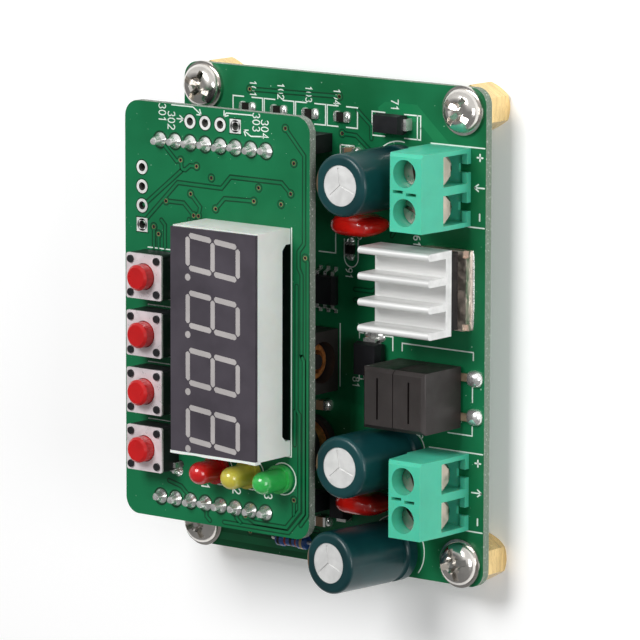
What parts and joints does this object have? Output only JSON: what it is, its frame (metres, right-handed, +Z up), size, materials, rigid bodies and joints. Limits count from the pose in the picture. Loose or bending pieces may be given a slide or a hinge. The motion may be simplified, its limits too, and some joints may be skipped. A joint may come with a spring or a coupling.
{
  "type": "buck converter module",
  "caption": "Adjustable step-down converter: power board on hex standoffs with screw terminals, heatsink and coils, under a plug-in control board with display, lamps and push switches.",
  "frame": {"origin": "middle of the four standoffs, on the plane of their feet, which the module stands on", "axes": "+Z up out of the boards, +X across the boards towards the wire entries, +Y along the boards towards the input terminal"},
  "size_m": [0.05, 0.0658, 0.0256],
  "materials": {
    "solder_mask": "glossy green lacquer over copper tracks",
    "standoff_brass": "turned, bright",
    "screw_steel": "bright plating",
    "terminal_plastic": "satin moulding",
    "contact_metal": "tinned brass",
    "zinc_steel": "zinc plating",
    "sink_aluminium": "satin extrusion",
    "black_moulding": "fine grain",
    "ferrite": "sintered, dark grey-brown",
    "copper_wire": "enamelled copper",
    "can_aluminium": "drawn can",
    "sleeve_film": "shrunk film, dark teal",
    "rubber_bung": "dull",
    "red_dip": "dipped, glossy",
    "blue_dip": null,
    "tinned_lead": "tinned copper",
    "ceramic": "fired, tan",
    "resistor_film": "black glaze",
    "display_white": "white moulding",
    "display_black": "printed dark grey",
    "segment_resin": "milky resin, unlit",
    "red_lens": "tinted lens",
    "yellow_lens": "tinted lens",
    "green_lens": "tinted lens",
    "button_red": "satin red"
  },
  "bodies": {
    "board": {"main_board": "solder_mask", "control_board": "solder_mask", "standoffs": "standoff_brass", "corner_screws": "screw_steel", "input_terminal_body": "terminal_plastic", "output_terminal_body": "terminal_plastic", "terminal_contacts": "contact_metal", "heatsink": "sink_aluminium", "regulator_body": "black_moulding", "regulator_tab": "contact_metal", "ferrite_core_left": "ferrite", "ferrite_core_right": "ferrite", "ferrite_coil": "copper_wire", "choke_core": "ferrite", "choke_winding": "copper_wire", "drum_core": "ferrite", "drum_winding": "copper_wire", "input_capacitor_can": "can_aluminium", "input_capacitor_sleeve": "sleeve_film", "output_capacitor_can": "can_aluminium", "output_capacitor_sleeve": "sleeve_film", "leaning_capacitor_can": "can_aluminium", "leaning_capacitor_sleeve": "sleeve_film", "capacitor_bungs": "rubber_bung", "input_film_capacitor": "red_dip", "output_film_capacitor": "red_dip", "axial_resistor": "blue_dip", "through_hole_leads": "tinned_lead", "power_diode": "black_moulding", "small_packages": "black_moulding", "surface_mount_leads": "tinned_lead", "control_chip": "black_moulding", "chip_resistors": "resistor_film", "chip_capacitors": "ceramic", "chip_end_caps": "tinned_lead", "header_sockets": "black_moulding", "pin_strips": "black_moulding", "header_pins": "tinned_lead", "display_shell": "display_white", "display_face": "display_black", "display_segments": "segment_resin", "display_pins": "tinned_lead", "red_led": "red_lens", "yellow_led": "yellow_lens", "green_led": "green_lens", "switch_bases": "black_moulding", "switch_covers": "zinc_steel", "snap_domes": "zinc_steel"},
    "input_plus_screw": {"input_plus_screw": "zinc_steel"},
    "input_minus_screw": {"input_minus_screw": "zinc_steel"},
    "output_plus_screw": {"output_plus_screw": "zinc_steel"},
    "output_minus_screw": {"output_minus_screw": "zinc_steel"},
    "input_plus_cage": {"input_plus_cage": "zinc_steel"},
    "input_minus_cage": {"input_minus_cage": "zinc_steel"},
    "output_plus_cage": {"output_plus_cage": "zinc_steel"},
    "output_minus_cage": {"output_minus_cage": "zinc_steel"},
    "button_1": {"button_1": "button_red"},
    "button_2": {"button_2": "button_red"},
    "button_3": {"button_3": "button_red"},
    "button_4": {"button_4": "button_red"}
  },
  "joints": [
    {"name": "input_plus_lift", "type": "slide", "parent": "board", "child": "input_plus_cage", "axis": [0, 0, -1], "range_m": [0, 0.0015]},
    {"name": "input_minus_lift", "type": "slide", "parent": "board", "child": "input_minus_cage", "axis": [0, 0, -1], "range_m": [0, 0.0015]},
    {"name": "output_plus_lift", "type": "slide", "parent": "board", "child": "output_plus_cage", "axis": [0, 0, -1], "range_m": [0, 0.0015]},
    {"name": "output_minus_lift", "type": "slide", "parent": "board", "child": "output_minus_cage", "axis": [0, 0, -1], "range_m": [0, 0.0015]},
    {"name": "input_plus_turn", "type": "hinge", "parent": "board", "child": "input_plus_screw", "pos_m": [0.01955, 0.0222, 0.0135], "axis": [0, 0, 1], "range_deg": [0, 1081]},
    {"name": "input_minus_turn", "type": "hinge", "parent": "board", "child": "input_minus_screw", "pos_m": [0.01955, 0.0172, 0.0135], "axis": [0, 0, 1], "range_deg": [0, 1081]},
    {"name": "output_plus_turn", "type": "hinge", "parent": "board", "child": "output_plus_screw", "pos_m": [0.01955, -0.0175, 0.0135], "axis": [0, 0, 1], "range_deg": [0, 1081]},
    {"name": "output_minus_turn", "type": "hinge", "parent": "board", "child": "output_minus_screw", "pos_m": [0.01955, -0.0225, 0.0135], "axis": [0, 0, 1], "range_deg": [0, 1081]},
    {"name": "button_1_press", "type": "slide", "parent": "board", "child": "button_1", "axis": [0, 0, -1], "range_m": [0, 0.00025], "stiffness_N_per_m": 4000},
    {"name": "button_2_press", "type": "slide", "parent": "board", "child": "button_2", "axis": [0, 0, -1], "range_m": [0, 0.00025], "stiffness_N_per_m": 4000},
    {"name": "button_3_press", "type": "slide", "parent": "board", "child": "button_3", "axis": [0, 0, -1], "range_m": [0, 0.00025], "stiffness_N_per_m": 4000},
    {"name": "button_4_press", "type": "slide", "parent": "board", "child": "button_4", "axis": [0, 0, -1], "range_m": [0, 0.00025], "stiffness_N_per_m": 4000}
  ],
  "couplings": [
    {"joint": "input_plus_turn", "follows": "input_plus_lift", "rad_per_m": 12566},
    {"joint": "input_minus_turn", "follows": "input_minus_lift", "rad_per_m": 12566},
    {"joint": "output_plus_turn", "follows": "output_plus_lift", "rad_per_m": 12566},
    {"joint": "output_minus_turn", "follows": "output_minus_lift", "rad_per_m": 12566}
  ]
}
